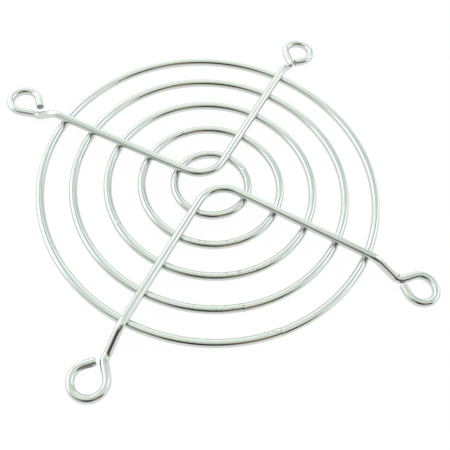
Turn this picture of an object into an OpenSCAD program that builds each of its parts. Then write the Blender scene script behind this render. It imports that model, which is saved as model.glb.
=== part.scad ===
// Wire fan guard.
// Five round wire rings are welded under two V-shaped rib wires. The bends of the two ribs meet back to
// back near the centre, and every rib end steps down past the outer ring and is curled into a screw eyelet.
// The eyelets lie on the mounting face, z = 0. The origin is the middle of the four screw holes.

/* [Screw eyelets] */
// Distance between the centres of neighbouring screw holes
hole_pitch = 71.5; // [68:0.1:84]
// Clear bore of an eyelet, across the band that the forming pin presses inside it
eyelet_bore = 4.96; // [4.4:0.02:5.6]
// Depth of the pressed band below the round inside of the wire
band_depth = 0.08; // [0.07:0.01:0.12]
// Straight tail that closes an eyelet, up to the cut end of the wire
tail_length = 2; // [1:0.1:2.2]

/* [Rings] */
// Diameter of the ring wire
ring_wire = 1.8; // [1.2:0.1:2.2]
// Centreline diameter of the innermost ring
inner_ring_d = 16.5; // [15:0.5:20]
// Centreline diameter of the second ring
second_ring_d = 31.1; // [27:0.5:35]
// Centreline diameter of the third ring
third_ring_d = 46; // [42:0.5:50]
// Centreline diameter of the fourth ring
fourth_ring_d = 60.8; // [57:0.5:65]
// Centreline diameter of the outermost ring
outer_ring_d = 74.9; // [72:0.1:76]
// Open height under the rings, above the mounting face
ring_clear = 2.05; // [1:0.05:3]

/* [Ribs] */
// Diameter of the rib wire
rib_wire = 1.8; // [1.4:0.1:2]
// Loss of wire diameter in every bend, where the wire is stretched
bend_thinning = 0.02; // [0.02:0.01:0.06]
// Depth to which a rib is pressed into each ring at its weld
weld_set = 0.2; // [0.1:0.05:0.4]
// Centreline radius of the bend in the middle of a rib
middle_bend_r = 6.2; // [4:0.1:6.4]
// Distance from the outer ring's outer side to where a leg starts to step down
step_start = 0.9; // [0.4:0.1:1.4]
// Centreline radius of the two bends of the step
step_bend_r = 2; // [1.2:0.1:2.2]
// Flat length between the step and the corner where the eyelet begins
neck_length = 1.3; // [1.2:0.1:1.6]
// Centreline radius of the bend at that corner
neck_bend_r = 1.2; // [1:0.1:1.4]

/* [Set of the rib legs] */
// Degrees by which the left leg of the back rib stands off its diagonal
back_left_lean = 2; // [-2:0.1:2]
// Degrees by which the right leg of the back rib stands off its diagonal
back_right_lean = -0.3; // [-2:0.1:2]
// Distance by which the back rib sits to one side
back_shift = -0.4; // [-0.6:0.1:0.6]
// Degrees by which the left leg of the front rib, seen from the front, stands off its diagonal
front_left_lean = -0.6; // [-2:0.1:2]
// Degrees by which the right leg of the front rib, seen from the front, stands off its diagonal
front_right_lean = 0.2; // [-2:0.1:2]
// Distance by which the front rib sits to one side, seen from the front
front_shift = -0.2; // [-0.6:0.1:0.6]

/* [Hidden] */
$fn = 96;

// heights of the wires' centrelines
eyelet_z = rib_wire / 2;
ring_z = ring_clear + ring_wire / 2;
rib_z = ring_z + (ring_wire + rib_wire) / 2 - weld_set;

// distance from the middle at which a leg starts to step down
step_r = (outer_ring_d + ring_wire) / 2 + step_start;

// centreline radius of an eyelet, and the distance from its centre to the corner where it begins
curl_r = eyelet_bore / 2 - band_depth + rib_wire / 2;
corner_r = curl_r * sqrt(2);

// directions of a rib's left and right legs, with the rib open towards +y
function left_aim(lean) = 135 + lean;
function right_aim(lean) = 45 + lean;

// screw hole at the end of a leg: side is 1 for the right leg and -1 for the left one
function hole(side) = [side * hole_pitch / 2, hole_pitch / 2];

// distance by which a bend runs on inside the straight wire at each of its ends
bend_lap = 0.05;

// straight wire along x; what follows carries on from its far end
module straight(l) {
    rotate([0, 90, 0]) cylinder(h = l, d = rib_wire);
    translate([l, 0, 0]) children();
}

// wire bent to centreline radius r: to the left, or with roll to the right (180), up (90) or down (-90)
module turn(r, angle, roll = 0) {
    lap = bend_lap / r * 180 / PI;
    rotate([roll, 0, 0]) translate([0, r, 0]) {
        rotate([0, 0, -90 - lap]) rotate_extrude(angle = angle + 2 * lap) translate([r, 0])
            circle(d = rib_wire - bend_thinning);
        rotate([0, 0, angle]) translate([0, -r, 0]) rotate([-roll, 0, 0]) children();
    }
}

// one leg of a rib from its start beside the middle bend, as the wire is bent: step, neck, eyelet, tail
module leg(side, shift, aim, start) {
    // the screw hole's centre in the leg's own frame, along the leg and to its left
    along = (hole(side).x - shift) * cos(aim) + hole(side).y * sin(aim);
    aside = hole(side).y * cos(aim) - (hole(side).x - shift) * sin(aim);
    corner = along - sqrt(corner_r * corner_r - aside * aside);
    run = corner - neck_length - step_r;
    slope = atan((rib_z - eyelet_z) / run);
    step_tangent = step_bend_r * tan(slope / 2);
    // the wire runs tangent into the eyelet and leaves it square to the hole pattern
    curl_start = atan2(-aside, corner - along) - 45;
    curl_end = atan2(-hole(side).y, -hole(side).x) + 45 - aim;
    kink = (curl_start + 270) % 360;
    neck_tangent = neck_bend_r * tan(kink / 2);

    straight(step_r - start - step_tangent)
    turn(step_bend_r, slope, -90)
    straight(run / cos(slope) - 2 * step_tangent)
    turn(step_bend_r, slope, 90)
    straight(neck_length - step_tangent - neck_tangent)
    turn(neck_bend_r, kink)
    straight(curl_r - neck_tangent)
    turn(curl_r, (curl_start - curl_end + 720) % 360, 180)
    straight(tail_length);
}

// a whole rib: left leg, middle bend and right leg in one wire, open towards +y
module rib(shift, left_lean, right_lean) {
    half_angle = (left_aim(left_lean) - right_aim(right_lean)) / 2;
    start = middle_bend_r / tan(half_angle);
    difference() {
        translate([shift, 0, rib_z]) rotate([0, 0, left_aim(left_lean)]) translate([start, 0, 0]) {
            leg(-1, shift, left_aim(left_lean), start);
            rotate([0, 0, 180]) turn(middle_bend_r, 180 - 2 * half_angle)
                leg(1, shift, right_aim(right_lean), start);
        }
        for (side = [-1, 1]) translate(hole(side)) cylinder(h = rib_wire, d = eyelet_bore);
    }
}

// the straight lines of a rib's two legs across the rings
module rib_lines(shift, left_lean, right_lean) {
    for (aim = [left_aim(left_lean), right_aim(right_lean)])
        translate([shift, 0, rib_z]) rotate([0, 0, aim]) straight(step_r);
}

// a ring, with a seat pressed into it by each rib leg
module ring(d) {
    difference() {
        translate([0, 0, ring_z]) rotate_extrude() translate([d / 2, 0]) circle(d = ring_wire);
        rib_lines(back_shift, back_left_lean, back_right_lean);
        rotate([0, 0, 180]) rib_lines(front_shift, front_left_lean, front_right_lean);
    }
}

module outer_ring() color("silver") ring(outer_ring_d);
module fourth_ring() color("silver") ring(fourth_ring_d);
module third_ring() color("silver") ring(third_ring_d);
module second_ring() color("silver") ring(second_ring_d);
module inner_ring() color("silver") ring(inner_ring_d);
module back_rib() color("gainsboro") rib(back_shift, back_left_lean, back_right_lean);
module front_rib() color("gainsboro") rotate([0, 0, 180]) rib(front_shift, front_left_lean, front_right_lean);

outer_ring();
fourth_ring();
third_ring();
second_ring();
inner_ring();
back_rib();
front_rib();
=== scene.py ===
"""Wire fan guard in bright plating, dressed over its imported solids.

Five round wire rings are welded under two V-shaped rib wires, whose ends step down and curl into screw
eyelets. Every wire here is a surface swept along the same bent line as its solid, with what the factory
left on it: butt seams in the rings, squeezed-out metal at the welds, tool marks at the eyelets and sheared
ends. Everything is in metres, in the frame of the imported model: z = 0 is the face the eyelets lie on.
"""

import logging
import math
from dataclasses import dataclass
from enum import Enum
from typing import Any, Optional, Sequence, Union

import bpy
import numpy as np
from mathutils import Matrix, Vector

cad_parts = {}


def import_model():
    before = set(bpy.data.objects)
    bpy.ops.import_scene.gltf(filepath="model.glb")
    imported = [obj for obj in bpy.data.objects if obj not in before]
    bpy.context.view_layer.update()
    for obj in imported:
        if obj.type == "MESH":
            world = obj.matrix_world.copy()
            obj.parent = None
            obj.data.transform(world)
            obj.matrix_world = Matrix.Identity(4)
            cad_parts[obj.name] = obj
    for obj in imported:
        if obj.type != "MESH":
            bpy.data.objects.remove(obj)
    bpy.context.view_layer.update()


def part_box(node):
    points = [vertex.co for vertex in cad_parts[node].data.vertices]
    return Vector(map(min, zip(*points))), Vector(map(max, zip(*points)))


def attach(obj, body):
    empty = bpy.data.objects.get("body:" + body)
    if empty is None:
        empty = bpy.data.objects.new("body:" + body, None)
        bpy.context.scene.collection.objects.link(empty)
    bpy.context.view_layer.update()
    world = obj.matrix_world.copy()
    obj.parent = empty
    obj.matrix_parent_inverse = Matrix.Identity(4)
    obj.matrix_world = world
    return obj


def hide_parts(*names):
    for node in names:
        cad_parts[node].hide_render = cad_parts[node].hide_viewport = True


LOG = logging.getLogger("fan_guard")
BODY = "root"
MM = 0.001
DEGREES = 180.0 / math.pi

# The angle of a bend between two sections, and the number of trial places from which the places of the
# sections are read, along half a rib and round a ring.
BEND_STEP = math.radians(2.5)
RIB_TRIALS = 6000
RING_TRIALS = 8000

Number = Union[float, "Signal"]
Colour = tuple[float, float, float]


# ---------------------------------------------------------------------------------------------------------
# Shader maths
# ---------------------------------------------------------------------------------------------------------


class Signal:
    """A value on its way between shader nodes, on which Python sums add Math nodes."""

    def __init__(self, graph: "NodeGraph", socket: bpy.types.NodeSocket) -> None:
        """Wraps one output socket.

        Args:
            graph: The node graph that the socket belongs to.
            socket: The output socket.
        """
        self.graph = graph
        self.socket = socket

    def other(self, name: str) -> "Signal":
        """Another output of the same node, by its name."""
        return Signal(self.graph, self.socket.node.outputs[name])

    def math(self, operation: str, *others: Number) -> "Signal":
        """A Math node on this value.

        Args:
            operation: The Math node's operation.
            *others: The node's further inputs, in order.

        Returns:
            The node's result.
        """
        inputs = dict(enumerate((self, *others)))
        return self.graph.node("ShaderNodeMath", {"operation": operation}, inputs)

    def __add__(self, other: Number) -> "Signal":
        """This value plus another."""
        return self.math("ADD", other)

    def __radd__(self, other: Number) -> "Signal":
        """Another value plus this one."""
        return self.math("ADD", other)

    def __sub__(self, other: Number) -> "Signal":
        """This value minus another."""
        return self.math("SUBTRACT", other)

    def __rsub__(self, other: float) -> "Signal":
        """A number minus this value."""
        return self.graph.node("ShaderNodeMath", {"operation": "SUBTRACT"}, {0: other, 1: self})

    def __mul__(self, other: Number) -> "Signal":
        """This value times another."""
        return self.math("MULTIPLY", other)

    def __rmul__(self, other: Number) -> "Signal":
        """Another value times this one."""
        return self.math("MULTIPLY", other)

    def __truediv__(self, other: Number) -> "Signal":
        """This value divided by another."""
        return self.math("DIVIDE", other)

    def least(self, other: Number) -> "Signal":
        """The smaller of this value and another."""
        return self.math("MINIMUM", other)

    def most(self, other: Number) -> "Signal":
        """The larger of this value and another."""
        return self.math("MAXIMUM", other)

    def within(self) -> "Signal":
        """This value held between 0 and 1."""
        return self.most(0.0).least(1.0)

    def rise(self, low: float, high: float) -> "Signal":
        """A smooth rise from 0 where this value is at low to 1 where it is at high.

        Args:
            low: The value at which the rise begins.
            high: The value at which it ends, which may be below low for a fall.

        Returns:
            The eased share, 3 t^2 - 2 t^3 of the clamped share t.
        """
        share = ((self - low) / (high - low)).within()
        return share * share * (3.0 - 2.0 * share)


class NodeGraph:
    """A material's or a world's nodes, built one expression at a time."""

    def __init__(self, owner: Union[bpy.types.Material, bpy.types.World]) -> None:
        """Starts an empty graph.

        Args:
            owner: The material or world whose nodes are made.
        """
        owner.use_nodes = True
        self.tree = owner.node_tree
        self.tree.nodes.clear()

    def node(
        self,
        kind: str,
        settings: Optional[dict[str, Any]] = None,
        sockets: Optional[dict[Union[int, str], Any]] = None,
        output: Union[int, str] = 0,
    ) -> Signal:
        """Adds a node.

        Args:
            kind: The node's type.
            settings: Its properties, set before the sockets.
            sockets: Values or links of its inputs, by name or number.
            output: The output that the returned signal stands for.

        Returns:
            The node's chosen output.
        """
        made = self.tree.nodes.new(kind)
        for name, value in (settings or {}).items():
            setattr(made, name, value)
        for key, value in (sockets or {}).items():
            if isinstance(value, Signal):
                self.tree.links.new(value.socket, made.inputs[key])
            else:
                made.inputs[key].default_value = value
        return Signal(self, made.outputs[output] if made.outputs else None)

    def blend(self, share: Number, first: Any, second: Any) -> Signal:
        """A colour between two colours.

        Args:
            share: 0 gives the first colour and 1 the second.
            first: A colour or a signal.
            second: A colour or a signal.

        Returns:
            The mixed colour.
        """
        first, second = ((*c, 1.0) if isinstance(c, tuple) else c for c in (first, second))
        sockets = {0: share, 6: first, 7: second}
        return self.node("ShaderNodeMix", {"data_type": "RGBA"}, sockets, output=2)

    def cloud(self, place: Signal, scale: float, detail: float = 2.0, roughness: float = 0.5) -> Signal:
        """Soft noise between 0 and 1.

        Args:
            place: The coordinates that it follows.
            scale: Its features to the metre.
            detail: Octaves of finer noise.
            roughness: How strong the finer octaves are.

        Returns:
            The noise's value.
        """
        sockets = {"Vector": place, "Scale": scale, "Detail": detail, "Roughness": roughness}
        return self.node("ShaderNodeTexNoise", None, sockets)


# ---------------------------------------------------------------------------------------------------------
# Curves
# ---------------------------------------------------------------------------------------------------------


def bell(share: np.ndarray) -> np.ndarray:
    """A bell curve, exp(-share^2): 1 at its middle and nearly 0 from twice its half width on."""
    return np.exp(-(share**2))


def half_turn_off(angle: np.ndarray, middle: float) -> np.ndarray:
    """Angles counted from a middle one, between a half turn before it and a half turn after it."""
    return (angle - middle + math.pi) % math.tau - math.pi


def even_steps(trial: np.ndarray, density: np.ndarray) -> np.ndarray:
    """Places where sections stand for a given density of them.

    The density's running sum rises by its mean times the spacing from one trial place to the next, and
    equal steps are read off that sum.

    Args:
        trial: Closely spaced rising places.
        density: Sections to one unit of distance at each of them.

    Returns:
        The sections' places, from the first trial place to the last.
    """
    steps = (density[1:] + density[:-1]) / 2.0 * np.diff(trial)
    running = np.concatenate(([0.0], np.cumsum(steps)))
    count = int(math.ceil(running[-1])) + 1
    return np.interp(np.linspace(0.0, running[-1], count), running, trial)


# ---------------------------------------------------------------------------------------------------------
# Bent wire
# ---------------------------------------------------------------------------------------------------------


@dataclass
class Course:
    """Stations along a wire's centreline, as whole arrays.

    Attributes:
        along: Distance of each station from the wire's start.
        points: The centreline's points.
        forward: The wire's direction at each station.
        left: The direction to the left of it, from which a section's angle counts.
        up: The direction a quarter turn on from left.
        curl: Curvature, one over the bend's radius.
        inward: The direction towards the inside of the bend.
    """

    along: np.ndarray
    points: np.ndarray
    forward: np.ndarray
    left: np.ndarray
    up: np.ndarray
    curl: np.ndarray
    inward: np.ndarray

    def backwards(self) -> "Course":
        """The same wire from its far end, with left turned over so that up stays up."""
        return Course(
            self.along[-1] - self.along[::-1],
            self.points[::-1],
            -self.forward[::-1],
            -self.left[::-1],
            self.up[::-1],
            self.curl[::-1],
            self.inward[::-1],
        )

    def then(self, other: "Course") -> "Course":
        """This wire carried on by another that starts where it ends."""
        joined = (
            np.concatenate((getattr(self, name), getattr(other, name)[1:]))
            for name in ("points", "forward", "left", "up", "curl", "inward")
        )
        along = np.concatenate((self.along, other.along[1:] + self.along[-1]))
        return Course(along, *joined)

    def turned(self, angle: float) -> "Course":
        """The wire turned about the guard's axis.

        Args:
            angle: Angle in radians, anticlockwise seen from above.

        Returns:
            The turned course.
        """
        turn = np.array(Matrix.Rotation(angle, 3, "Z"))
        moved = (a @ turn.T for a in (self.points, self.forward, self.left, self.up))
        return Course(self.along, *moved, self.curl, self.inward @ turn.T)


@dataclass(frozen=True)
class Stretch:
    """One straight or evenly bent length of wire.

    Attributes:
        start: Distance along the wire at which it begins.
        length: Its length along the centreline.
        place: The point where it begins.
        axes: Rows forward, left and up where it begins.
        curl: One over the bend's radius, 0 where it is straight.
        roll: Side to which it bends: 0 left, a half turn right, a quarter turn up.
    """

    start: float
    length: float
    place: np.ndarray
    axes: np.ndarray
    curl: float
    roll: float

    def at(self, along: np.ndarray) -> tuple[np.ndarray, ...]:
        """Points and directions on the stretch.

        A bend of radius r through the angle t has its point at r sin t forward and r (1 - cos t) inward,
        and turns the forward and inward directions by t; a straight stretch only moves forward.

        Args:
            along: Distances from the start of the stretch.

        Returns:
            Points, then the forward, left, up and inward directions.
        """
        forward, left, up = self.axes
        inward = math.cos(self.roll) * left + math.sin(self.roll) * up
        hinge = math.cos(self.roll) * up - math.sin(self.roll) * left
        turn = (along * self.curl)[:, None]
        if self.curl:
            moved = (np.sin(turn) * forward + (1 - np.cos(turn)) * inward) / self.curl
        else:
            moved = along[:, None] * forward
        heading = np.cos(turn) * forward + np.sin(turn) * inward
        inner = np.cos(turn) * inward - np.sin(turn) * forward
        new_left = math.cos(self.roll) * inner - math.sin(self.roll) * hinge
        new_up = math.sin(self.roll) * inner + math.cos(self.roll) * hinge
        return self.place + moved, heading, new_left, new_up, inner


class BentWire:
    """A wire laid down as a bending machine feeds it: straight, bend, straight, and so on."""

    def __init__(self, place: Sequence[float], aim: float) -> None:
        """Starts a level wire.

        Args:
            place: The point where the wire begins.
            aim: Its direction in radians, seen from above.
        """
        self.place = np.array(place, float)
        self.axes = np.array(Matrix.Rotation(aim, 3, "Z")).T
        self.stretches: list[Stretch] = []
        self.length = 0.0

    def _feed(self, length: float, curl: float, roll: float) -> "BentWire":
        """Adds a stretch and moves to its far end."""
        stretch = Stretch(self.length, length, self.place, self.axes, curl, roll)
        self.stretches.append(stretch)
        points, *axes, _ = stretch.at(np.array([length]))
        self.place, self.axes = points[0], np.array([a[0] for a in axes])
        self.length += length
        return self

    def straight(self, length: float) -> "BentWire":
        """Feeds straight wire of that length."""
        return self._feed(length, 0.0, 0.0)

    def turn(self, radius: float, angle: float, roll: float = 0.0) -> "BentWire":
        """Bends the wire.

        Args:
            radius: Radius of the bend's centreline.
            angle: Angle of the bend in radians.
            roll: Side to which it bends, as in Stretch.

        Returns:
            The wire itself, so that calls can be chained.
        """
        return self._feed(radius * angle, 1.0 / radius, roll)

    def stations(self, spots: Sequence[float], coarse: float, fine: float, reach: float) -> np.ndarray:
        """Distances at which the wire's sections stand.

        Their density is the sum of an even share, a share for each bend that gives one bend step to a
        section, and a bell round each spot.

        Args:
            spots: Distances along the wire round which the sections stand closer.
            coarse: Step on plain straight wire.
            fine: Step at a spot.
            reach: Half width of a spot's bell.

        Returns:
            Rising distances from 0 to the wire's length.
        """
        trial = np.linspace(0.0, self.length, RIB_TRIALS)
        density = 1.0 / coarse + self._curl_at(trial) / BEND_STEP
        for spot in spots:
            density += bell((trial - spot) / reach) / fine
        return even_steps(trial, density)

    def _owner(self, along: np.ndarray) -> np.ndarray:
        """The number of the stretch that each distance falls on."""
        starts = np.array([stretch.start for stretch in self.stretches])
        return np.searchsorted(starts, along, side="right") - 1

    def _curl_at(self, along: np.ndarray) -> np.ndarray:
        """Curvature at each distance."""
        return np.array([stretch.curl for stretch in self.stretches])[self._owner(along)]

    def course(self, along: np.ndarray) -> Course:
        """The wire's centreline at given stations.

        Args:
            along: Rising distances from the wire's start.

        Returns:
            The course through those stations.
        """
        owner = self._owner(along)
        results = [np.empty((len(along), 3)) for _ in range(5)]
        for number, stretch in enumerate(self.stretches):
            mine = owner == number
            for result, part in zip(results, stretch.at(along[mine] - stretch.start)):
                result[mine] = part
        points, forward, left, up, inward = results
        return Course(along, points, forward, left, up, self._curl_at(along), inward)


class Mask(str, Enum):
    """The masks that a wire's surface carries for its finish."""

    # Corners between welded wires, for painted shade.
    WELD = "weld"
    SEAM = "seam"
    # Tool marks, darkened with burnt steel and painted shade.
    SCAR_AND_SHADE = "scar_and_shade"
    PITS = "pits"
    CUT = "cut"


@dataclass
class WireSkin:
    """The surface of one wire: a grid of points, sections by places round each section.

    Attributes:
        course: The centreline that the sections stand on.
        radius: The wire's radius.
        around: Number of points round a section.
        looped: Whether the last section carries on into the first.
        thinning: Share of its radius that the wire loses outside a bend of its own diameter.
    """

    course: Course
    radius: float
    around: int = 36
    looped: bool = False
    thinning: float = 0.0

    def __post_init__(self) -> None:
        """Sweeps the round section along the course, with every mask still at 0.

        The point at the angle v of a section is the centreline's point plus r cos v to the left and
        r sin v up. Outside a bend, r is a little smaller where the stretched wire has flattened.
        """
        angle = np.arange(self.around) * (math.tau / self.around)
        self.angle = angle
        line = self.course
        self.outward = (
            np.cos(angle)[None, :, None] * line.left[:, None, :]
            + np.sin(angle)[None, :, None] * line.up[:, None, :]
        )
        outside = np.clip(-np.einsum("sak,sk->sa", self.outward, line.inward), 0.0, 1.0)
        loss = self.thinning * np.clip(line.curl * 2.0 * self.radius, 0.0, 1.0)
        reach = self.radius * (1.0 - loss[:, None] * outside**2)
        self.points = line.points[:, None, :] + reach[..., None] * self.outward
        self.masks = {mask: np.zeros(reach.shape) for mask in Mask}

    def push(self, height: np.ndarray) -> None:
        """Moves every point of the surface outwards by its own height."""
        self.points = self.points + height[..., None] * self.outward

    def shift(self, offset: np.ndarray) -> None:
        """Moves every section by its own offset."""
        self.points = self.points + offset[:, None, :]

    def distance(self, place: Sequence[float]) -> np.ndarray:
        """The distance of every point of the surface from a place."""
        return np.linalg.norm(self.points - np.array(place, float), axis=2)

    def mark(self, mask: Mask, share: np.ndarray) -> None:
        """Adds to one of the masks, which stays between 0 and 1."""
        self.masks[mask] = np.clip(self.masks[mask] + share, 0.0, 1.0)


class Sheared(Enum):
    """Which end of a wire is sheared, as the way that its face looks along the wire."""

    START = -1
    END = 1


@dataclass(frozen=True)
class CutEnd:
    """The sheared end of a wire: a flat face with its rim worn round.

    Attributes:
        chamfer: Width of the worn rim.
        lean: Slope of the cut across the wire.
        bare_rings: Number of rings, from the middle out, that the plating has missed.
        rim_rings: Shares of the rim's quarter circle at which its rings stand.
        face_rings: Sizes of the rings on the flat face, as shares of that face.
    """

    chamfer: float = 0.16 * MM
    lean: float = 0.08
    bare_rings: int = 5
    rim_rings: tuple[float, ...] = (0.0, 0.12, 0.3, 0.5, 0.7, 0.88, 1.0)
    face_rings: tuple[float, ...] = (0.93, 0.5)

    def rings(self, skin: WireSkin, end: Sheared) -> np.ndarray:
        """Rings of points that close a wire's end, from its rim to near its middle.

        The rim is a quarter circle of the chamfer's radius: at the angle q, a ring stands chamfer sin q
        further on and is chamfer (1 - cos q) smaller. The rings on the flat face follow it. A cut that
        leans moves each point on by its height across the section times the slope.

        Args:
            skin: The wire's surface.
            end: The end that is closed.

        Returns:
            Rings by places round the section, from the wire outwards.
        """
        row = 0 if end is Sheared.START else -1
        course = skin.course
        onward = course.forward[row] * end.value
        quarter = np.array(self.rim_rings) * (math.pi / 2)
        inset = self.chamfer * (1 - np.cos(quarter))
        advance = self.chamfer * np.sin(quarter)
        face = skin.radius - self.chamfer
        inset = np.append(inset, skin.radius - face * np.array(self.face_rings))
        advance = np.append(advance, [self.chamfer] * len(self.face_rings))
        size = skin.radius - inset
        round_face = skin.outward[row][None, :, :] * size[:, None, None]
        slant = self.lean * size[:, None] * np.sin(skin.angle)[None, :]
        slant = slant * (advance / self.chamfer)[:, None]
        moved = (advance[:, None] + slant)[..., None] * onward
        return course.points[row] + round_face + moved


class MeshMaker:
    """Turns a wire's grid of points into a closed mesh object."""

    @staticmethod
    def _grid_faces(rows: int, around: int, looped: bool) -> tuple[np.ndarray, np.ndarray]:
        """Four-sided faces between neighbouring sections, seen from outside anticlockwise.

        Args:
            rows: Number of sections.
            around: Points round a section.
            looped: Whether the last section is joined to the first.

        Returns:
            Vertex numbers of each face's corners, and each corner's place in sections and round.
        """
        row, turn = np.meshgrid(np.arange(rows if looped else rows - 1), np.arange(around), indexing="ij")
        row, turn = row.ravel(), turn.ravel()
        place_row = np.stack((row, row, row + 1, row + 1), axis=1)
        place_turn = np.stack((turn, turn + 1, turn + 1, turn), axis=1)
        faces = (place_row % rows) * around + place_turn % around
        return faces, np.stack((place_row, place_turn), axis=2)

    @classmethod
    def build(cls, name: str, skin: WireSkin, cut: Optional[CutEnd] = None) -> bpy.types.Object:
        """Makes the object of one wire.

        A looped wire is a grid that closes both ways. An open wire has its end rings added to the grid
        and a fan of three-sided faces round a middle point at each end. The map WireLength gives the
        distance along the wire in metres and the turns round it.

        Args:
            name: The object's name.
            skin: The wire's surface.
            cut: How the ends are cut, for a wire that isn't looped.

        Returns:
            The new object, linked to the scene.
        """
        points, along = skin.points, skin.course.along
        masks = dict(skin.masks)
        if cut is not None:
            first, last = cut.rings(skin, Sheared.START)[::-1], cut.rings(skin, Sheared.END)
            points = np.concatenate((first, points[1:-1], last))
            extra = len(first) - 1
            along = np.concatenate((np.full(extra, along[0]), along, np.full(extra, along[-1])))
            masks = {key: np.pad(mask, ((extra, extra), (0, 0)), "edge") for key, mask in masks.items()}
            bare = np.zeros(points.shape[:2])
            bare[: cut.bare_rings] = bare[-cut.bare_rings :] = 1.0
            masks[Mask.CUT] = bare
        rows, around = points.shape[:2]
        corners, places = cls._grid_faces(rows, around, skin.looped)
        reach = np.append(along, along[-1] + (along[1] - along[0]))
        layout = np.stack((reach[places[..., 0]], places[..., 1] / around), axis=2)
        vertices = points.reshape(-1, 3)
        faces = corners.tolist()
        layout = layout.reshape(-1, 2)
        if cut is not None:
            ring = np.arange(around)
            middle = len(vertices)
            vertices = np.concatenate((vertices, [points[0].mean(axis=0), points[-1].mean(axis=0)]))
            start_fan = np.stack((np.full(around, middle), (ring + 1) % around, ring), axis=1)
            last_ring = (rows - 1) * around + ring
            end_fan = np.stack((np.full(around, middle + 1), last_ring, np.roll(last_ring, -1)), axis=1)
            faces += start_fan.tolist() + end_fan.tolist()
            fan_reach = np.repeat([along[0], along[-1]], 3 * around)
            layout = np.concatenate((layout, np.stack((fan_reach, np.zeros(6 * around)), axis=1)))
            masks = {key: np.append(mask.ravel(), [mask[0, 0], mask[-1, 0]]) for key, mask in masks.items()}
        mesh = bpy.data.meshes.new(name)
        mesh.from_pydata(vertices, [], faces)
        mesh.uv_layers.new(name="WireLength").data.foreach_set("uv", layout.astype(np.float32).ravel())
        for key, mask in masks.items():
            values = mask.astype(np.float32).ravel()
            mesh.attributes.new(key, "FLOAT", "POINT").data.foreach_set("value", values)
        mesh.shade_smooth()
        mesh.update()
        made = bpy.data.objects.new(name, mesh)
        bpy.context.scene.collection.objects.link(made)
        return made


# ---------------------------------------------------------------------------------------------------------
# Finish
# ---------------------------------------------------------------------------------------------------------


@dataclass(frozen=True)
class BrightPlating:
    """Thin bright plating on drawn steel wire, pitted where it wore, with painted shade at welds and marks.

    Attributes:
        name: The material's name.
        metal: Colour of the clean plating.
        warm: Colour of the plating where it has yellowed.
        corner_shade: Colour of the painted shade in the corner where a weld joins two wires.
        soot_and_shade: Colour of burnt steel at seams and pits, and of tool marks and their painted shade.
        bare: Colour of a sheared face.
        gloss: Roughness of the clean plating.
        lines: Drawing lines to the metre along the wire, and to the turn round it.
        seed: Shifts the clouds, so that two finishes don't repeat each other.
    """

    name: str
    metal: Colour = (0.665, 0.695, 0.67)
    warm: Colour = (0.64, 0.64, 0.565)
    corner_shade: Colour = (0.10, 0.115, 0.125)
    soot_and_shade: Colour = (0.055, 0.045, 0.035)
    bare: Colour = (0.33, 0.325, 0.31)
    gloss: float = 0.09
    lines: tuple[float, float, float] = (60.0, 9.0, 1.0)
    seed: float = 0.0

    def material(self) -> bpy.types.Material:
        """Builds the finish.

        Clouds on Object coordinates vary the plating's tone, gloss and flatness, and clouds stretched
        along the wire give its drawing lines. The surface's masks, broken up by finer clouds, paint shade
        into the corners at the welds, burn the seams and pits dark, darken the tool marks with burnt steel
        and painted shade, and show bare steel on the sheared faces.

        Returns:
            The new material.
        """
        made = bpy.data.materials.new(self.name)
        graph = NodeGraph(made)
        place = graph.node("ShaderNodeTexCoord", output="Object")
        shift = (self.seed, 2.0 * self.seed, -self.seed)
        place = graph.node("ShaderNodeMapping", None, {"Vector": place, "Location": shift})
        weld, seam, scar_and_shade, pits, cut = (
            graph.node("ShaderNodeAttribute", {"attribute_name": mask.value}, output="Fac") for mask in Mask
        )
        tone = graph.cloud(place, 260.0, detail=3.0)
        grain = graph.cloud(place, 2600.0, detail=2.0)
        specks = graph.cloud(place, 2300.0, detail=1.0).rise(0.665, 0.705)
        # Painted shade in the corners at the welds, over the squeezed-out metal.
        corner_shade_share = (weld * (0.35 + 0.9 * grain)).rise(0.25, 0.75)
        burn = (seam * (0.3 + 0.9 * grain)).rise(0.45, 1.0)
        # Tool marks darkened with burnt steel and painted shade; a flat mark is painted shade alone.
        scrape_and_shade = (scar_and_shade * (0.5 + 0.9 * grain)).rise(0.3, 0.9)
        pitted = (pits * specks).within()
        dark = (burn * 0.55).most(scrape_and_shade * 0.8).most(pitted)
        metal = graph.blend(tone.rise(0.52, 0.78) * 0.55, self.metal, self.warm)
        welded = graph.blend(corner_shade_share * 0.85, metal, self.corner_shade)
        faced = graph.blend(cut, welded, self.bare)
        colour = graph.blend(dark * 0.9, faced, self.soot_and_shade)
        dull = dark.most(corner_shade_share).most(cut)
        roughness = self.gloss + 0.05 * tone + 0.35 * dull
        bump = graph.node(
            "ShaderNodeBump",
            None,
            {"Strength": 0.6, "Distance": 0.02 * MM, "Height": self._relief(graph, place, pitted)},
        )
        shader = graph.node(
            "ShaderNodeBsdfPrincipled",
            None,
            {
                "Base Color": colour,
                "Metallic": 1.0 - 0.75 * dark.most(corner_shade_share * 0.4).most(cut * 0.8),
                "Roughness": roughness,
                "Normal": bump,
                "Coat Weight": 0.5,
                "Coat Roughness": 0.06,
                "Coat IOR": 1.6,
            },
        )
        graph.node("ShaderNodeOutputMaterial", None, {"Surface": shader})
        return made

    def _relief(self, graph: NodeGraph, place: Signal, pitted: Signal) -> Signal:
        """Height of the plating's surface, in steps of the bump's distance.

        Args:
            graph: The material's graph.
            place: Object coordinates.
            pitted: Share of the surface that is a pit.

        Returns:
            The sum of long swells, drawing lines along the wire and the pits' hollows.
        """
        wire_map = graph.node("ShaderNodeUVMap", {"uv_map": "WireLength"})
        lines = graph.node("ShaderNodeMapping", None, {"Vector": wire_map, "Scale": self.lines})
        swell = graph.cloud(place, 420.0, detail=1.0)
        drawn = graph.cloud(lines, 1.0, detail=3.0, roughness=0.6)
        return 3.0 * swell + 0.5 * drawn - 1.5 * pitted


# ---------------------------------------------------------------------------------------------------------
# Ribs
# ---------------------------------------------------------------------------------------------------------


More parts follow.
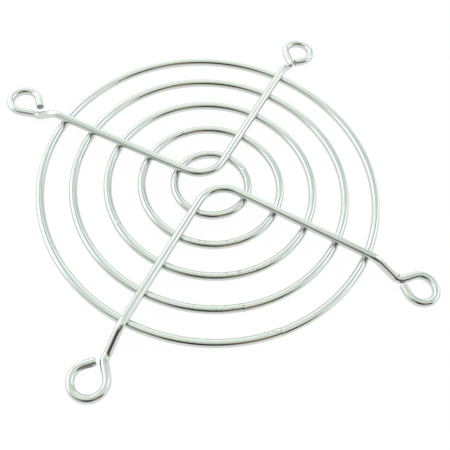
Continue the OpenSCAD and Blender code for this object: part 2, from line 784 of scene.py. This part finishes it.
@dataclass(frozen=True)
class Leg:
    """One leg of a rib and the screw hole that its eyelet goes round.

    Attributes:
        side: 1 for the right leg and -1 for the left one, with the rib open towards +y.
        lean: Angle by which it stands off its diagonal, in degrees.
        tail: Straight tail that closes its eyelet.
        opening: Angle by which the eyelet is curled less than its hole asks for, in degrees.
        miss: Distances along x and y by which the eyelet misses the middle of its hole.
        curl_r: Centreline radius of the eyelet.
        step_r: Distance from the guard's axis at which it starts to step down.
    """

    side: int
    lean: float
    tail: float
    opening: float = 0.0
    miss: tuple[float, float] = (0.0, 0.0)
    curl_r: float = 3.3 * MM
    step_r: float = 39.25 * MM

    @property
    def aim(self) -> float:
        """The leg's direction in radians."""
        return math.radians(90.0 - 45.0 * self.side + self.lean)


@dataclass(frozen=True)
class ToolMarkAndShade:
    """A nick or a burr that a forming tool left on a rib, darkened with burnt steel and painted shade,
    or a flat patch of painted shade.

    Attributes:
        place: Its middle, in the guard's frame.
        reach: Its half width.
        height: How far it stands proud, below 0 how deep it is, and 0 for a flat patch of painted shade.
    """

    place: tuple[float, float, float]
    reach: float
    height: float


@dataclass
class Rib:
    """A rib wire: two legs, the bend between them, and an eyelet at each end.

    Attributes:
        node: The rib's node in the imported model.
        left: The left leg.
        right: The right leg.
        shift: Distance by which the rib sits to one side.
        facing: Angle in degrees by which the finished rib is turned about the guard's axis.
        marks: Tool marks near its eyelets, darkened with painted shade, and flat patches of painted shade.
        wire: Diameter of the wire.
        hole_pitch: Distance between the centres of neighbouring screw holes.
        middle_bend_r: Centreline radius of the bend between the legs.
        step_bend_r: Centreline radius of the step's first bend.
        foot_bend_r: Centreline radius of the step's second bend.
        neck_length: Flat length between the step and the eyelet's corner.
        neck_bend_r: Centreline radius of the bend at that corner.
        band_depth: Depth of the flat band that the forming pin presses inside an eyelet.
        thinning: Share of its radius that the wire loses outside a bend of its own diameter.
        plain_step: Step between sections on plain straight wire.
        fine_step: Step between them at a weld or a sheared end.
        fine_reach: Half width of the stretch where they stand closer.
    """

    node: str
    left: Leg
    right: Leg
    shift: float
    facing: float
    marks: tuple[ToolMarkAndShade, ...] = ()
    wire: float = 1.8 * MM
    hole_pitch: float = 71.5 * MM
    middle_bend_r: float = 6.2 * MM
    step_bend_r: float = 3.8 * MM
    foot_bend_r: float = 2.3 * MM
    neck_length: float = 1.3 * MM
    neck_bend_r: float = 1.3 * MM
    band_depth: float = 0.08 * MM
    thinning: float = 0.05
    plain_step: float = 0.6 * MM
    fine_step: float = 0.12 * MM
    fine_reach: float = 0.9 * MM

    def __post_init__(self) -> None:
        """Takes the rib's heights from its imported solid, and works out where the straight legs begin."""
        low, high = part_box(self.node)
        self.eyelet_z = low.z + self.wire / 2
        self.rib_z = high.z - self.wire / 2
        self.half_angle = (self.left.aim - self.right.aim) / 2
        self.start = self.middle_bend_r / math.tan(self.half_angle)

    def leg_lines(self) -> list[tuple[np.ndarray, np.ndarray]]:
        """The straight centrelines of the two legs, each as a point and a direction."""
        turn = np.array(Matrix.Rotation(math.radians(self.facing), 3, "Z"))
        apex = turn @ np.array([self.shift, 0.0, self.rib_z])
        aims = (self.left.aim, self.right.aim)
        return [(apex, turn @ np.array([math.cos(a), math.sin(a), 0.0])) for a in aims]

    def crossing(self, aim: float, ring_r: float) -> float:
        """Distance from the legs' meeting point to where a leg crosses a ring.

        Args:
            aim: The leg's direction in radians.
            ring_r: The ring's radius.

        Returns:
            The positive root t of |shift + t aim| = ring radius.
        """
        across = self.shift * math.sin(aim)
        return math.sqrt(ring_r**2 - across**2) - self.shift * math.cos(aim)

    def _bend_leg(self, wire: BentWire, leg: Leg) -> BentWire:
        """Feeds one leg from its start beside the middle bend: step, neck, eyelet and tail.

        The eyelet's corner is where the leg's own line comes within the curl's radius times root two of
        the hole's centre, so that the wire runs tangent into the curl and leaves it square to the holes.

        Args:
            wire: The wire so far, at the leg's start.
            leg: The leg.

        Returns:
            The wire with the leg added.
        """
        aim = leg.aim
        hole_x = leg.side * self.hole_pitch / 2 - self.shift + leg.miss[0]
        hole_y = self.hole_pitch / 2 + leg.miss[1]
        forth = hole_x * math.cos(aim) + hole_y * math.sin(aim)
        aside = hole_y * math.cos(aim) - hole_x * math.sin(aim)
        corner = forth - math.sqrt(2 * leg.curl_r**2 - aside**2)
        run = corner - self.neck_length - leg.step_r
        slope = math.atan((self.rib_z - self.eyelet_z) / run)
        step_tangent = self.step_bend_r * math.tan(slope / 2)
        foot_tangent = self.foot_bend_r * math.tan(slope / 2)
        curl_start = math.atan2(-aside, corner - forth) - math.pi / 4
        curl_end = math.atan2(-1.0, -leg.side) + math.pi / 4 - aim + math.radians(leg.opening)
        kink = (curl_start + 1.5 * math.pi) % math.tau
        neck_tangent = self.neck_bend_r * math.tan(kink / 2)
        quarter = math.pi / 2
        wire.straight(leg.step_r - self.start - step_tangent)
        wire.turn(self.step_bend_r, slope, -quarter)
        wire.straight(run / math.cos(slope) - step_tangent - foot_tangent)
        wire.turn(self.foot_bend_r, slope, quarter)
        wire.straight(self.neck_length - foot_tangent - neck_tangent)
        wire.turn(self.neck_bend_r, kink)
        wire.straight(leg.curl_r - neck_tangent)
        wire.turn(leg.curl_r, (curl_start - curl_end) % math.tau, math.pi)
        return wire.straight(leg.tail)

    def _course(self, ring_radii: Sequence[float]) -> Course:
        """The rib's centreline from the left eyelet's tail to the right one's.

        Args:
            ring_radii: Radii of the rings that it crosses, round which its sections stand closer.

        Returns:
            The whole course in the guard's frame.
        """
        start_point = (
            self.shift + self.start * math.cos(self.left.aim),
            self.start * math.sin(self.left.aim),
            self.rib_z,
        )
        left = self._bend_leg(BentWire(start_point, self.left.aim), self.left)
        right = BentWire(start_point, self.left.aim + math.pi)
        right.turn(self.middle_bend_r, math.pi - 2 * self.half_angle)
        bend = right.length
        self._bend_leg(right, self.right)
        left_spots = [self.crossing(self.left.aim, r) - self.start for r in ring_radii]
        right_spots = [bend + self.crossing(self.right.aim, r) - self.start for r in ring_radii]
        halves = []
        for wire, spots in ((left, left_spots), (right, right_spots)):
            ends = [*spots, wire.length]
            stations = wire.stations(ends, self.plain_step, self.fine_step, self.fine_reach)
            halves.append(wire.course(stations))
        return halves[0].backwards().then(halves[1]).turned(math.radians(self.facing))

    def _press_bands(self, skin: WireSkin) -> None:
        """Presses the flat band inside each eyelet.

        A point that is nearer to the eyelet's axis than the band moves straight out to the band.

        Args:
            skin: The rib's surface.
        """
        turn = np.array(Matrix.Rotation(math.radians(self.facing), 2))
        for leg in (self.left, self.right):
            centre = turn @ (np.array([leg.side, 1.0]) * self.hole_pitch / 2 + leg.miss)
            band_r = leg.curl_r - self.wire / 2 + self.band_depth
            offset = skin.points[..., :2] - centre
            away = np.linalg.norm(offset, axis=-1, keepdims=True)
            skin.points[..., :2] = centre + offset * np.maximum(1.0, band_r / away)

    def build(self, rings: "RingStack", finish: bpy.types.Material) -> bpy.types.Object:
        """Makes the rib's piece.

        Args:
            rings: The rings that it is welded to.
            finish: Its material.

        Returns:
            The dressed piece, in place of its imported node.
        """
        skin = WireSkin(self._course(rings.radii), self.wire / 2, thinning=self.thinning)
        rings.weld.squeeze(skin, [rings.gap(skin.points, radius) for radius in rings.radii])
        for mark in self.marks:
            near = bell(skin.distance(mark.place) / mark.reach)
            skin.push(mark.height * near)
            # Darkens the mark with burnt steel and painted shade.
            skin.mark(Mask.SCAR_AND_SHADE, near)
        self._press_bands(skin)
        piece = MeshMaker.build(f"{self.node}_wire", skin, CutEnd())
        return dress(piece, self.node, finish)


# ---------------------------------------------------------------------------------------------------------
# Rings
# ---------------------------------------------------------------------------------------------------------


@dataclass(frozen=True)
class CrossWeld:
    """The metal squeezed out where two wires are fused across each other, and painted shade in their
    corner.

    Attributes:
        height: Height of the squeezed-out metal in the corner between the wires.
        reach: Gap between the wires at which it has run out.
        corner_shade_reach: Gap over which the corner carries painted shade.
    """

    height: float = 0.11 * MM
    reach: float = 0.24 * MM
    corner_shade_reach: float = 0.26 * MM

    def squeeze(self, skin: WireSkin, gaps: Sequence[np.ndarray]) -> None:
        """Raises a wire's surface in its corners with the wires that it is welded to, and paints shade
        there.

        The surface rises by the height times exp(-(gap / reach)^2), where gap is its distance from the
        other wire's surface.

        Args:
            skin: The wire's surface.
            gaps: Distance of each of its points from each other wire's surface, below 0 inside it.
        """
        for gap in gaps:
            clear = np.maximum(gap, 0.0)
            skin.push(self.height * bell(clear / self.reach))
            # Marks the corner between the wires for painted shade.
            skin.mark(Mask.WELD, bell(clear / self.corner_shade_reach))


@dataclass(frozen=True)
class ButtWeld:
    """The dressed-down weld that closes a ring.

    Attributes:
        reach: Half width of its swelling along the wire.
        bias: Share by which the wire swells more on one side and less on the other.
        bias_at: Place round the section of the side that swells more, in radians.
        miss: Distance by which the ring's two ends miss each other.
        miss_ease: Distance over which the wire crosses from one end to the other.
        miss_reach: Distance over which each end comes back to its line.
        line_reach: Half width of the burnt line round the joint.
        line_least: Share of the line's darkness that is the same all the way round.
    """

    reach: float = 0.2 * MM
    bias: float = 0.6
    bias_at: float = 2.0
    miss: float = 0.035 * MM
    miss_ease: float = 0.12 * MM
    miss_reach: float = 3.0 * MM
    line_reach: float = 0.11 * MM
    line_least: float = 0.62

    def close(self, skin: WireSkin, distance: np.ndarray, height: float) -> None:
        """Closes a ring's wire.

        At the distance d from the joint the wire swells by the height times exp(-(d / reach)^2), a
        little more on one side, and its two ends miss each other, eased by tanh(d / ease).

        Args:
            skin: The ring's surface.
            distance: Distance of each section from the joint, below 0 before it.
            height: How far the weld stands proud.
        """
        lopsided = 1.0 + self.bias * np.cos(skin.angle - self.bias_at)
        skin.push(height * bell(distance / self.reach)[:, None] * lopsided[None, :])
        aside = self.miss * np.tanh(distance / self.miss_ease) * bell(distance / self.miss_reach)
        skin.shift(aside[:, None] * -skin.course.left)
        burnt = self.line_least + (1.0 - self.line_least) * lopsided / (1.0 + self.bias)
        skin.mark(Mask.SEAM, bell(distance / self.line_reach)[:, None] * burnt[None, :])


@dataclass(frozen=True)
class Ring:
    """One ring of the guard.

    Attributes:
        node: The ring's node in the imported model.
        seam_at: Direction of its butt weld from the guard's axis, in degrees.
        seam_height: How far the dressed-down weld stands proud.
        pits_at: Direction of the middle of its pitted stretch, in degrees.
        pits_reach: Half width of that stretch, in degrees.
    """

    node: str
    seam_at: float
    seam_height: float
    pits_at: float
    pits_reach: float


@dataclass
class RingStack:
    """The five round rings, in one plane under the ribs.

    Attributes:
        rings: The rings, from the outermost in.
        wire: Diameter of the ring wire.
        weld: The welds between the rings and the ribs, with painted shade in their corners.
        seam: The butt weld that closes each ring.
        wander: How far a hand-laid ring wanders off a true circle.
        wander_shift: Radians to the metre of radius by which each ring's wandering is shifted.
        plain_step: Step between sections on plain wire.
        weld_step: Step between them at a weld with a rib.
        weld_reach: Half width of the stretch where they stand closer there.
        seam_step: Step between them at the butt weld.
        seam_reach: Half width of the stretch where they stand closer there.
    """

    rings: tuple[Ring, ...]
    wire: float = 1.8 * MM
    weld: CrossWeld = CrossWeld()
    seam: ButtWeld = ButtWeld()
    wander: float = 0.035 * MM
    wander_shift: float = 5000.0
    plain_step: float = 0.55 * MM
    weld_step: float = 0.13 * MM
    weld_reach: float = 0.9 * MM
    seam_step: float = 0.07 * MM
    seam_reach: float = 0.6 * MM

    def __post_init__(self) -> None:
        """Takes the rings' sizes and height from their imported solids."""
        boxes = [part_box(ring.node) for ring in self.rings]
        self.radii = [(high.x - low.x - self.wire) / 2 for low, high in boxes]
        self.height = boxes[0][0].z + self.wire / 2

    def gap(self, points: np.ndarray, ring_r: float) -> np.ndarray:
        """Distance of points from the surface of a ring.

        Args:
            points: Points, with their coordinates last.
            ring_r: The ring's radius.

        Returns:
            The distance from the ring's circle less the wire's radius, below 0 inside the ring.
        """
        off_circle = np.hypot(points[..., 0], points[..., 1]) - ring_r
        return np.hypot(off_circle, points[..., 2] - self.height) - self.wire / 2

    @staticmethod
    def _line_gap(points: np.ndarray, line: tuple[np.ndarray, np.ndarray], wire_r: float) -> np.ndarray:
        """Distance of points from the surface of a rib's straight leg.

        Args:
            points: Points, with their coordinates last.
            line: A point of the leg's centreline and its direction.
            wire_r: The rib wire's radius.

        Returns:
            The distance from the half line less the wire's radius.
        """
        origin, direction = line
        offset = points - origin
        forth = np.maximum(offset @ direction, 0.0)
        return np.linalg.norm(offset - forth[..., None] * direction, axis=-1) - wire_r

    def _stations(self, ring: Ring, radius: float, crossings: Sequence[float]) -> np.ndarray:
        """Angles at which a ring's sections stand.

        The density of sections is an even share plus a bell round each weld and round the seam.

        Args:
            ring: The ring.
            radius: Its radius.
            crossings: Directions of its welds, in radians.

        Returns:
            Rising angles over one turn, without the last.
        """
        trial = np.linspace(0.0, math.tau, RING_TRIALS)
        density = np.full(trial.shape, radius / self.plain_step)
        spots = [(angle, self.weld_reach, self.weld_step) for angle in crossings]
        spots.append((math.radians(ring.seam_at), self.seam_reach, self.seam_step))
        for angle, reach, step in spots:
            density += bell(half_turn_off(trial, angle) * radius / reach) * radius / step
        return even_steps(trial, density)[:-1]

    def _course(self, radius: float, angle: np.ndarray) -> Course:
        """A ring's centreline.

        The circle wanders off its radius by three slow waves, the sum of which stays within the
        wander. Left points to the middle, so a section's angle counts from its inner side.

        Args:
            radius: The ring's radius.
            angle: Angles of the stations.

        Returns:
            The course, anticlockwise seen from above.
        """
        phase = radius * self.wander_shift
        waves = sum(np.sin(n * angle + phase * n) / n for n in (2, 3, 5))
        size = radius + self.wander * waves
        out = np.stack((np.cos(angle), np.sin(angle), np.zeros_like(angle)), axis=1)
        forward = np.stack((-np.sin(angle), np.cos(angle), np.zeros_like(angle)), axis=1)
        up = np.broadcast_to([0.0, 0.0, 1.0], out.shape)
        points = size[:, None] * out + self.height * up
        curl = np.full(angle.shape, 1.0 / radius)
        return Course(angle * radius, points, forward, -out, up, curl, -out)

    def build(self, ribs: Sequence[Rib], finish: bpy.types.Material) -> list[bpy.types.Object]:
        """Makes the rings' pieces.

        Args:
            ribs: The ribs that the rings are welded to.
            finish: The rings' material.

        Returns:
            The dressed pieces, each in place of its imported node.
        """
        lines = [(line, rib.wire / 2) for rib in ribs for line in rib.leg_lines()]
        pieces = []
        for ring, radius in zip(self.rings, self.radii):
            crossings = [self._crossing_angle(line, radius) for line, _ in lines]
            angle = self._stations(ring, radius, crossings)
            skin = WireSkin(self._course(radius, angle), self.wire / 2, looped=True)
            joint = half_turn_off(angle, math.radians(ring.seam_at)) * radius
            self.seam.close(skin, joint, ring.seam_height)
            self.weld.squeeze(skin, [self._line_gap(skin.points, line, wire_r) for line, wire_r in lines])
            off = half_turn_off(angle, math.radians(ring.pits_at)) * DEGREES
            stretch = bell((off / ring.pits_reach) ** 2)
            skin.mark(Mask.PITS, stretch[:, None] * np.clip(np.sin(skin.angle), 0.0, 1.0))
            piece = MeshMaker.build(f"{ring.node}_wire", skin)
            pieces.append(dress(piece, ring.node, finish))
        return pieces

    @staticmethod
    def _crossing_angle(line: tuple[np.ndarray, np.ndarray], ring_r: float) -> float:
        """Direction in which a rib's leg crosses a ring, as an angle round the guard's axis."""
        origin, direction = line
        forth = -origin[:2] @ direction[:2]
        beside = origin[:2] + forth * direction[:2]
        place = beside + math.sqrt(ring_r**2 - beside @ beside) * direction[:2]
        return math.atan2(place[1], place[0])


def dress(piece: bpy.types.Object, node: str, finish: bpy.types.Material) -> bpy.types.Object:
    """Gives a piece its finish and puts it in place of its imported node.

    Args:
        piece: The new piece.
        node: The node that it stands for.
        finish: Its material.

    Returns:
        The piece.
    """
    piece.data.materials.append(finish)
    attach(piece, BODY)
    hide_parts(node)
    return piece


# ---------------------------------------------------------------------------------------------------------
# Studio
# ---------------------------------------------------------------------------------------------------------


@dataclass(frozen=True)
class Patch:
    """A soft-edged darker or brighter part of the studio round the guard.

    Attributes:
        name: What it is.
        azimuth: Direction of its middle in degrees, anticlockwise from +x seen from above.
        elevation: Height of its middle in degrees above the horizon.
        half_width: Half its width in degrees.
        half_height: Half its height in degrees.
        softness: Share of its size over which its edge fades.
        colour: The light that comes from it.
    """

    name: str
    azimuth: float
    elevation: float
    half_width: float
    half_height: float
    softness: float
    colour: Colour


@dataclass(frozen=True)
class Studio:
    """A pale floor in a light tent, and the camera that looks down at the guard.

    Attributes:
        tent_low: Light from the tent's walls.
        tent_high: Light from its roof.
        roof_from: Elevation in degrees at which the walls begin to pass into the roof.
        roof_full: Elevation in degrees from which there is only roof.
        patches: What breaks the tent's even light: lamps, rails and folds, and the dark open side where
            the camera stands. A later patch covers an earlier one.
        floor_half: Half the side of the square floor, in metres.
        floor_matt: Share of light that the matt floor throws back.
        floor_glow: Strength of the even white that it also shows.
        floor_seen: Share of that white in what the camera sees of the floor.
        floor_mirrored: Share of it in what the metal mirrors of the floor.
        aim: The point that the camera looks at.
        azimuth: Direction of the camera from that point, in degrees.
        elevation: Its height above the horizon, in degrees.
        distance: Its distance from that point.
        roll: Its turn about its own axis, in degrees.
        lens: Focal length in millimetres on a 36 mm sensor.
    """

    tent_low: Colour = (0.91, 0.97, 0.93)
    tent_high: Colour = (0.93, 1.02, 0.91)
    roof_from: float = 40.0
    roof_full: float = 70.0
    patches: tuple[Patch, ...] = (
        Patch("left_wall", -157.0, 18.0, 21.0, 44.0, 0.8, (0.65, 0.74, 0.66)),
        Patch("roof_seam", -170.0, 80.0, 44.0, 14.0, 0.9, (1.38, 1.46, 1.34)),
        Patch("lit_back_wall", 131.0, 18.0, 46.0, 38.0, 0.4, (1.51, 1.56, 1.52)),
        Patch("lit_side_wall", 68.0, 20.0, 28.0, 36.0, 0.6, (1.24, 1.33, 1.26)),
        Patch("back_lamp", 93.0, 39.0, 8.0, 9.0, 0.7, (1.67, 1.68, 1.67)),
        Patch("side_lamp", -2.0, 37.0, 18.0, 18.0, 0.5, (1.66, 1.71, 1.69)),
        Patch("side_window", 13.0, 11.0, 8.0, 18.0, 0.7, (1.34, 1.39, 1.37)),
        Patch("side_fold", 35.0, 28.0, 11.0, 24.0, 0.7, (0.72, 0.83, 0.77)),
        Patch("side_rail", 25.0, 57.0, 32.0, 7.0, 0.9, (0.62, 0.67, 0.70)),
        Patch("back_rail", 100.0, 59.0, 26.0, 7.0, 0.9, (0.55, 0.66, 0.67)),
        Patch("back_fold", 113.0, 30.0, 5.0, 16.0, 0.9, (1.06, 1.11, 1.07)),
        Patch("low_gap", -33.0, 11.0, 13.0, 9.0, 0.8, (1.27, 1.38, 1.36)),
        Patch("low_fold", -12.0, 6.0, 7.0, 12.0, 0.9, (0.76, 0.77, 0.77)),
        Patch("open_side", -106.0, 36.0, 52.0, 29.0, 0.7, (0.28, 0.28, 0.24)),
        Patch("above_open_side", -120.0, 68.0, 40.0, 16.0, 0.9, (0.62, 0.66, 0.61)),
        Patch("stand", -60.0, 28.0, 15.0, 20.0, 0.9, (0.10, 0.06, 0.04)),
        Patch("camera_hood", -109.0, 37.0, 24.0, 19.0, 0.7, (0.046, 0.028, 0.02)),
        Patch("tripod", -75.0, 48.0, 15.0, 18.0, 0.9, (0.33, 0.22, 0.13)),
        Patch("brown_card", -143.0, 48.0, 9.0, 12.0, 0.9, (0.42, 0.38, 0.32)),
    )
    floor_half: float = 1.5
    floor_matt: float = 0.85
    floor_glow: float = 1.03
    floor_seen: float = 0.92
    floor_mirrored: float = 0.75
    aim: tuple[float, float, float] = (-0.36 * MM, -10.9 * MM, 2.95 * MM)
    azimuth: float = -116.68
    elevation: float = 58.91
    distance: float = 138.02 * MM
    roll: float = 9.77
    lens: float = 50.97

    def build(self) -> None:
        """Makes the light, the floor and the camera."""
        self._make_world()
        self._make_floor()
        self._make_camera()
        bpy.context.scene.view_settings.view_transform = "Standard"

    def _make_world(self) -> None:
        """Makes the light tent.

        Its walls pass into its roof as the elevation rises. Each patch covers them by an oval mask,
        the distance from its middle in shares of its half width and height. The camera sees plain
        white past the floor.
        """
        world = bpy.data.worlds.new("light_tent")
        bpy.context.scene.world = world
        graph = NodeGraph(world)
        direction = graph.node("ShaderNodeTexCoord", output="Generated")
        east = graph.node("ShaderNodeSeparateXYZ", None, {"Vector": direction})
        north, height = east.other("Y"), east.other("Z")
        azimuth = north.math("ARCTAN2", east) * DEGREES
        elevation = height.least(1.0).most(-1.0).math("ARCSINE") * DEGREES
        roof = elevation.rise(self.roof_from, self.roof_full)
        light = graph.blend(roof, self.tent_low, self.tent_high)
        for patch in self.patches:
            off = (azimuth - patch.azimuth + 540.0).math("FLOORED_MODULO", 360.0) - 180.0
            across = off / patch.half_width
            above = (elevation - patch.elevation) / patch.half_height
            away = (across * across + above * above).math("SQRT")
            cover = away.rise(1.0 + patch.softness / 2, 1.0 - patch.softness / 2)
            light = graph.blend(cover, light, patch.colour)
            light.socket.node.label = patch.name
        seen = graph.node("ShaderNodeLightPath", output="Is Camera Ray")
        colour = graph.blend(seen, light, (1.0, 1.0, 1.0))
        background = graph.node("ShaderNodeBackground", None, {"Color": colour, "Strength": 1.0})
        graph.node("ShaderNodeOutputWorld", None, {"Surface": background})

    def _make_floor(self) -> None:
        """Makes the floor: white to the eye and in the metal, with the guard's shadow left on it."""
        half = self.floor_half
        corners = np.array([[-half, -half, 0.0], [half, -half, 0.0], [half, half, 0.0], [-half, half, 0.0]])
        mesh = bpy.data.meshes.new("floor")
        mesh.from_pydata(corners, [], [(0, 1, 2, 3)])
        floor = bpy.data.objects.new("floor", mesh)
        bpy.context.scene.collection.objects.link(floor)
        made = bpy.data.materials.new("white_table")
        graph = NodeGraph(made)
        grey = (*(self.floor_matt,) * 3, 1.0)
        white = (1.0, 1.0, 1.0, 1.0)
        matt = graph.node("ShaderNodeBsdfDiffuse", None, {"Color": grey})
        glow = graph.node("ShaderNodeEmission", None, {"Color": white, "Strength": self.floor_glow})
        path = graph.node("ShaderNodeLightPath", output="Is Camera Ray")
        mirrored = path.other("Is Glossy Ray") + path.other("Is Transmission Ray")
        seen = (self.floor_seen * path + self.floor_mirrored * mirrored).within()
        surface = graph.node("ShaderNodeMixShader", None, {0: seen, 1: matt, 2: glow})
        graph.node("ShaderNodeOutputMaterial", None, {"Surface": surface})
        mesh.materials.append(made)

    def _make_camera(self) -> None:
        """Places the camera on a sphere round its aim, and rolls it about its own axis."""
        azimuth, elevation = math.radians(self.azimuth), math.radians(self.elevation)
        back = np.array(
            [
                math.cos(azimuth) * math.cos(elevation),
                math.sin(azimuth) * math.cos(elevation),
                math.sin(elevation),
            ]
        )
        level = np.cross([0.0, 0.0, 1.0], back)
        level = level / np.linalg.norm(level)
        steep = np.cross(back, level)
        roll = math.radians(self.roll)
        right = math.cos(roll) * level + math.sin(roll) * steep
        upright = np.cross(back, right)
        data = bpy.data.cameras.new("camera")
        data.lens = self.lens
        data.sensor_width = 36.0
        data.clip_start = 0.01
        data.clip_end = 10.0
        camera = bpy.data.objects.new("camera", data)
        bpy.context.scene.collection.objects.link(camera)
        place = np.array(self.aim) + self.distance * back
        matrix = np.eye(4)
        matrix[:3, :3] = np.stack((right, upright, back), axis=1)
        matrix[:3, 3] = place
        camera.matrix_world = Matrix(matrix.tolist())
        bpy.context.scene.camera = camera


# ---------------------------------------------------------------------------------------------------------
# The guard
# ---------------------------------------------------------------------------------------------------------


def make_rings() -> RingStack:
    """The five rings, from the outermost in."""
    return RingStack(
        (
            Ring("outer_ring", -86.0, 0.035 * MM, -88.0, 5.0),
            Ring("fourth_ring", -95.5, 0.035 * MM, -108.0, 12.0),
            Ring("third_ring", -168.0, 0.03 * MM, -91.0, 24.0),
            Ring("second_ring", 98.0, 0.035 * MM, -92.0, 28.0),
            Ring("inner_ring", 11.0, 0.035 * MM, 2.0, 20.0),
        )
    )


def make_ribs() -> tuple[Rib, Rib]:
    """The back rib and the front rib, which is turned to face it."""
    back = Rib(
        "back_rib",
        left=Leg(-1, 2.0, 2.35 * MM, -2.0, (0.17 * MM, 0.05 * MM), 3.27 * MM, 40.0 * MM),
        right=Leg(1, -0.3, 2.0 * MM),
        shift=-0.4 * MM,
        facing=0.0,
        marks=(
            ToolMarkAndShade((-33.6 * MM, 31.0 * MM, 1.7 * MM), 0.3 * MM, -0.12 * MM),
            ToolMarkAndShade((31.3 * MM, 31.9 * MM, 1.7 * MM), 0.4 * MM, -0.12 * MM),
        ),
    )
    front = Rib(
        "front_rib",
        left=Leg(-1, -0.6, 1.95 * MM, 4.0, (-0.18 * MM, 0.37 * MM)),
        right=Leg(1, 0.2, 2.0 * MM, 0.0, (-0.17 * MM, -0.2 * MM), 3.45 * MM),
        shift=-0.2 * MM,
        facing=180.0,
        marks=(
            ToolMarkAndShade((-31.6 * MM, -32.6 * MM, 1.6 * MM), 0.3 * MM, -0.1 * MM),
            # Two flat patches of painted shade on the inner side of this eyelet.
            ToolMarkAndShade((-36.0 * MM, -33.0 * MM, 1.0 * MM), 0.9 * MM, 0.0),
            ToolMarkAndShade((-34.6 * MM, -33.0 * MM, 1.0 * MM), 0.9 * MM, 0.0),
            ToolMarkAndShade((32.3 * MM, -32.0 * MM, 1.9 * MM), 0.36 * MM, 0.65 * MM),
        ),
    )
    return back, front


def main() -> None:
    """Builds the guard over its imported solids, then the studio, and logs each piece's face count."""
    logging.basicConfig(level=logging.INFO, format="%(name)s: %(message)s")
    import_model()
    rings = make_rings()
    ribs = make_ribs()
    ring_finish = BrightPlating("ring_plating", seed=0.013).material()
    rib_finish = BrightPlating("rib_plating", seed=0.047).material()
    pieces = rings.build(ribs, ring_finish)
    pieces += [rib.build(rings, rib_finish) for rib in ribs]
    for piece in pieces:
        LOG.info("%s: %d faces", piece.name, len(piece.data.polygons))
    Studio().build()


if __name__ == "__main__":
    main()
